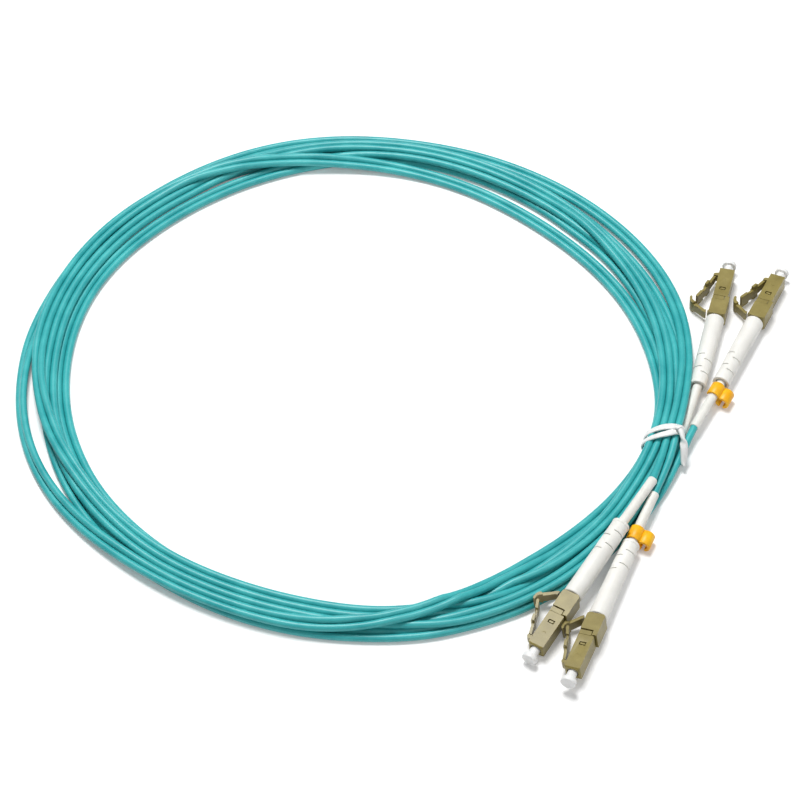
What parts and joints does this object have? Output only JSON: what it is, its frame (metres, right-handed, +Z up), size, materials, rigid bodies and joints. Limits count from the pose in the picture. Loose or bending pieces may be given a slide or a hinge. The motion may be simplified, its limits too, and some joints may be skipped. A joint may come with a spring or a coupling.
{
  "type": "fiber optic patch cord",
  "caption": "Coiled duplex fibre optic patch cord with latched small-form plugs, strain-relief boots and dust caps at both ends, held by a twist tie.",
  "frame": {"origin": "on the floor under the middle of the four plugs with their sleeves, caps and clips (all nodes but the cord and its tie)", "axes": "+Z is up from the floor the cord lies on; +Y runs from the b plugs towards the a plugs; +X points away from the coil"},
  "size_m": [0.2299, 0.21, 0.0091],
  "materials": {
    "housing_plastic": "moulded beige-olive, satin",
    "boot_plastic": "soft moulded white, satin",
    "sleeve_plastic": "white heat-shrink tube, satin",
    "cap_plastic": "white, slightly translucent, satin",
    "jacket_plastic": "aqua cord jacket, satin",
    "clip_plastic": "yellow, satin",
    "tie_plastic": "white plastic-coated wire, satin",
    "guide_tube_plastic": "natural, smooth",
    "zirconia": "white polished ceramic",
    "plated_brass": "nickel-plated brass",
    "spring_steel": "bright spring wire",
    "crimp_metal": "plain"
  },
  "bodies": {
    "cord_and_plugs": {"cord_coil": "jacket_plastic", "twist_tie": "tie_plastic", "duplex_clip_a": "clip_plastic", "duplex_clip_b": "clip_plastic", "a1_front_housing": "housing_plastic", "a1_rear_body": "housing_plastic", "a1_crimp_body": "plated_brass", "a1_crimp_ring": "crimp_metal", "a1_ferrule_spring": "spring_steel", "a1_boot": "boot_plastic", "a1_sleeve": "sleeve_plastic", "a1_lead": "jacket_plastic", "a2_front_housing": "housing_plastic", "a2_rear_body": "housing_plastic", "a2_crimp_body": "plated_brass", "a2_crimp_ring": "crimp_metal", "a2_ferrule_spring": "spring_steel", "a2_boot": "boot_plastic", "a2_sleeve": "sleeve_plastic", "a2_lead": "jacket_plastic", "b1_front_housing": "housing_plastic", "b1_rear_body": "housing_plastic", "b1_crimp_body": "plated_brass", "b1_crimp_ring": "crimp_metal", "b1_ferrule_spring": "spring_steel", "b1_boot": "boot_plastic", "b1_sleeve": "sleeve_plastic", "b1_lead": "jacket_plastic", "b2_front_housing": "housing_plastic", "b2_rear_body": "housing_plastic", "b2_crimp_body": "plated_brass", "b2_crimp_ring": "crimp_metal", "b2_ferrule_spring": "spring_steel", "b2_boot": "boot_plastic", "b2_sleeve": "sleeve_plastic", "b2_lead": "jacket_plastic"},
    "a1_trigger_arm": {"a1_trigger": "housing_plastic"},
    "a1_latch_arm": {"a1_latch_lever": "housing_plastic"},
    "a1_floating_ferrule": {"a1_ferrule": "zirconia", "a1_ferrule_flange": "plated_brass", "a1_guide_tube": "guide_tube_plastic"},
    "a1_cap": {"a1_dust_cap": "cap_plastic"},
    "a2_trigger_arm": {"a2_trigger": "housing_plastic"},
    "a2_latch_arm": {"a2_latch_lever": "housing_plastic"},
    "a2_floating_ferrule": {"a2_ferrule": "zirconia", "a2_ferrule_flange": "plated_brass", "a2_guide_tube": "guide_tube_plastic"},
    "a2_cap": {"a2_dust_cap": "cap_plastic"},
    "b1_trigger_arm": {"b1_trigger": "housing_plastic"},
    "b1_latch_arm": {"b1_latch_lever": "housing_plastic"},
    "b1_floating_ferrule": {"b1_ferrule": "zirconia", "b1_ferrule_flange": "plated_brass", "b1_guide_tube": "guide_tube_plastic"},
    "b1_cap": {"b1_dust_cap": "cap_plastic"},
    "b2_trigger_arm": {"b2_trigger": "housing_plastic"},
    "b2_latch_arm": {"b2_latch_lever": "housing_plastic"},
    "b2_floating_ferrule": {"b2_ferrule": "zirconia", "b2_ferrule_flange": "plated_brass", "b2_guide_tube": "guide_tube_plastic"},
    "b2_cap": {"b2_dust_cap": "cap_plastic"}
  },
  "joints": [
    {"name": "a1_trigger_press", "type": "hinge", "parent": "cord_and_plugs", "child": "a1_trigger_arm", "pos_m": [0.01649, 0.05693, 0.00274], "axis": [0.0504, -0.014, -0.9986], "range_deg": [0, 18], "stiffness_Nm_per_rad": 0.065},
    {"name": "a1_latch_press", "type": "hinge", "parent": "cord_and_plugs", "child": "a1_latch_arm", "pos_m": [0.02017, 0.07168, 0.00272], "axis": [-0.0504, 0.014, 0.9986], "range_deg": [0, 10]},
    {"name": "a1_ferrule_push", "type": "slide", "parent": "cord_and_plugs", "child": "a1_floating_ferrule", "axis": [-0.2672, -0.9636, 0], "range_m": [0, 0.001], "stiffness_N_per_m": 2500, "springref_m": -0.002, "deforming": ["a1_ferrule_spring"]},
    {"name": "a1_cap_pull", "type": "slide", "parent": "a1_floating_ferrule", "child": "a1_cap", "axis": [0.2672, 0.9636, 0], "range_m": [0, 0.014]},
    {"name": "a2_trigger_press", "type": "hinge", "parent": "cord_and_plugs", "child": "a2_trigger_arm", "pos_m": [0.0287, 0.05596, 0.00294], "axis": [0.0702, -0.0544, -0.996], "range_deg": [0, 18], "stiffness_Nm_per_rad": 0.065},
    {"name": "a2_latch_press", "type": "hinge", "parent": "cord_and_plugs", "child": "a2_latch_arm", "pos_m": [0.03513, 0.06974, 0.00264], "axis": [-0.0702, 0.0544, 0.996], "range_deg": [0, 10]},
    {"name": "a2_ferrule_push", "type": "slide", "parent": "cord_and_plugs", "child": "a2_floating_ferrule", "axis": [-0.4461, -0.8948, 0.0175], "range_m": [0, 0.001], "stiffness_N_per_m": 2500, "springref_m": -0.002, "deforming": ["a2_ferrule_spring"]},
    {"name": "a2_cap_pull", "type": "slide", "parent": "a2_floating_ferrule", "child": "a2_cap", "axis": [0.4461, 0.8948, -0.0175], "range_m": [0, 0.014]},
    {"name": "b1_trigger_press", "type": "hinge", "parent": "cord_and_plugs", "child": "b1_trigger_arm", "pos_m": [-0.0321, -0.04819, 0.00402], "axis": [-0.0871, -0.0396, 0.9954], "range_deg": [0, 14], "stiffness_Nm_per_rad": 0.065},
    {"name": "b1_latch_press", "type": "hinge", "parent": "cord_and_plugs", "child": "b1_latch_arm", "pos_m": [-0.04056, -0.06076, 0.00278], "axis": [0.0871, 0.0396, -0.9954], "range_deg": [0, 8]},
    {"name": "b1_ferrule_push", "type": "slide", "parent": "cord_and_plugs", "child": "b1_floating_ferrule", "axis": [0.5341, 0.8416, 0.0802], "range_m": [0, 0.001], "stiffness_N_per_m": 2500, "springref_m": -0.002, "deforming": ["b1_ferrule_spring"]},
    {"name": "b1_cap_pull", "type": "slide", "parent": "b1_floating_ferrule", "child": "b1_cap", "axis": [-0.5341, -0.8416, -0.0802], "range_m": [0, 0.014]},
    {"name": "b2_trigger_press", "type": "hinge", "parent": "cord_and_plugs", "child": "b2_trigger_arm", "pos_m": [-0.02539, -0.05571, 0.00322], "axis": [-0.1693, 0.0897, 0.9815], "range_deg": [0, 8], "stiffness_Nm_per_rad": 0.065},
    {"name": "b2_latch_press", "type": "hinge", "parent": "cord_and_plugs", "child": "b2_latch_arm", "pos_m": [-0.03165, -0.06957, 0.00341], "axis": [0.1693, -0.0897, -0.9815], "range_deg": [0, 5]},
    {"name": "b2_ferrule_push", "type": "slide", "parent": "cord_and_plugs", "child": "b2_floating_ferrule", "axis": [0.3875, 0.9217, -0.0175], "range_m": [0, 0.001], "stiffness_N_per_m": 2500, "springref_m": -0.002, "deforming": ["b2_ferrule_spring"]},
    {"name": "b2_cap_pull", "type": "slide", "parent": "b2_floating_ferrule", "child": "b2_cap", "axis": [-0.3875, -0.9217, 0.0175], "range_m": [0, 0.014]}
  ],
  "couplings": [
    {"joint": "a1_latch_press", "follows": "a1_trigger_press", "ratio": 0.5},
    {"joint": "a2_latch_press", "follows": "a2_trigger_press", "ratio": 0.5},
    {"joint": "b1_latch_press", "follows": "b1_trigger_press", "ratio": 0.5},
    {"joint": "b2_latch_press", "follows": "b2_trigger_press", "ratio": 0.5}
  ]
}
